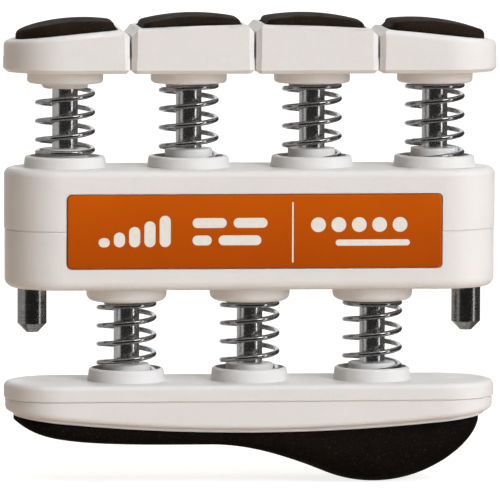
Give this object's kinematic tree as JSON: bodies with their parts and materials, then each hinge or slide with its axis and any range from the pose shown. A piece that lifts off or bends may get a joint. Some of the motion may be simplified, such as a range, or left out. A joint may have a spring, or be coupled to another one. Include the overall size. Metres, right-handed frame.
{
  "type": "finger exerciser",
  "caption": "Hand-held finger exerciser: sprung finger keys with soft pads above a slim round-ended housing, and a sprung palm bar with a bulged soft pad below.",
  "frame": {"origin": "bottom of the bounding box, under the middle of the housing", "axes": "+X along the row of fingers, +Y from the front label to the back, +Z from the palm pad up to the finger pads"},
  "size_m": [0.08, 0.0182, 0.0758],
  "materials": {
    "white_plastic": "satin moulded, warm white",
    "label_plate": "satin orange",
    "pad_rubber": "matt, finely textured",
    "rod_steel": "ground and polished",
    "pin_steel": "ground and polished, dark",
    "clip_steel": "plain spring steel",
    "spring_steel": "bright drawn spring wire"
  },
  "bodies": {
    "housing": {"housing_upper_shell": "white_plastic", "housing_lower_shell": "white_plastic", "front_label_plate": "label_plate", "rear_label_plate": "label_plate", "stop_pin_left": "pin_steel", "stop_pin_right": "pin_steel", "finger_spring_1": "spring_steel", "finger_spring_2": "spring_steel", "finger_spring_3": "spring_steel", "finger_spring_4": "spring_steel", "palm_spring_1": "spring_steel", "palm_spring_2": "spring_steel", "palm_spring_3": "spring_steel"},
    "finger_1": {"key_base_1": "white_plastic", "key_cap_1": "white_plastic", "finger_pad_1": "pad_rubber", "finger_rod_1": "rod_steel", "finger_rod_clip_1": "clip_steel"},
    "finger_2": {"key_base_2": "white_plastic", "key_cap_2": "white_plastic", "finger_pad_2": "pad_rubber", "finger_rod_2": "rod_steel", "finger_rod_clip_2": "clip_steel"},
    "finger_3": {"key_base_3": "white_plastic", "key_cap_3": "white_plastic", "finger_pad_3": "pad_rubber", "finger_rod_3": "rod_steel", "finger_rod_clip_3": "clip_steel"},
    "finger_4": {"key_base_4": "white_plastic", "key_cap_4": "white_plastic", "finger_pad_4": "pad_rubber", "finger_rod_4": "rod_steel", "finger_rod_clip_4": "clip_steel"},
    "palm_bar": {"palm_bar_top_plate": "white_plastic", "palm_bar_cover": "white_plastic", "palm_pad": "pad_rubber", "palm_rod_1": "rod_steel", "palm_rod_2": "rod_steel", "palm_rod_3": "rod_steel", "palm_rod_clip_1": "clip_steel", "palm_rod_clip_2": "clip_steel", "palm_rod_clip_3": "clip_steel"}
  },
  "joints": [
    {"name": "finger_1_press", "type": "slide", "parent": "housing", "child": "finger_1", "axis": [0, 0, -1], "range_m": [0, 0.008], "stiffness_N_per_m": 1768, "springref_m": -0.0015, "deforming": ["finger_spring_1"]},
    {"name": "finger_2_press", "type": "slide", "parent": "housing", "child": "finger_2", "axis": [0, 0, -1], "range_m": [0, 0.008], "stiffness_N_per_m": 1768, "springref_m": -0.0015, "deforming": ["finger_spring_2"]},
    {"name": "finger_3_press", "type": "slide", "parent": "housing", "child": "finger_3", "axis": [0, 0, -1], "range_m": [0, 0.008], "stiffness_N_per_m": 1768, "springref_m": -0.0015, "deforming": ["finger_spring_3"]},
    {"name": "finger_4_press", "type": "slide", "parent": "housing", "child": "finger_4", "axis": [0, 0, -1], "range_m": [0, 0.008], "stiffness_N_per_m": 1768, "springref_m": -0.0015, "deforming": ["finger_spring_4"]},
    {"name": "palm_bar_squeeze", "type": "slide", "parent": "housing", "child": "palm_bar", "axis": [0, 0, 1], "range_m": [0, 0.008], "stiffness_N_per_m": 5304, "springref_m": -0.0015, "deforming": ["palm_spring_1", "palm_spring_2", "palm_spring_3"]}
  ]
}
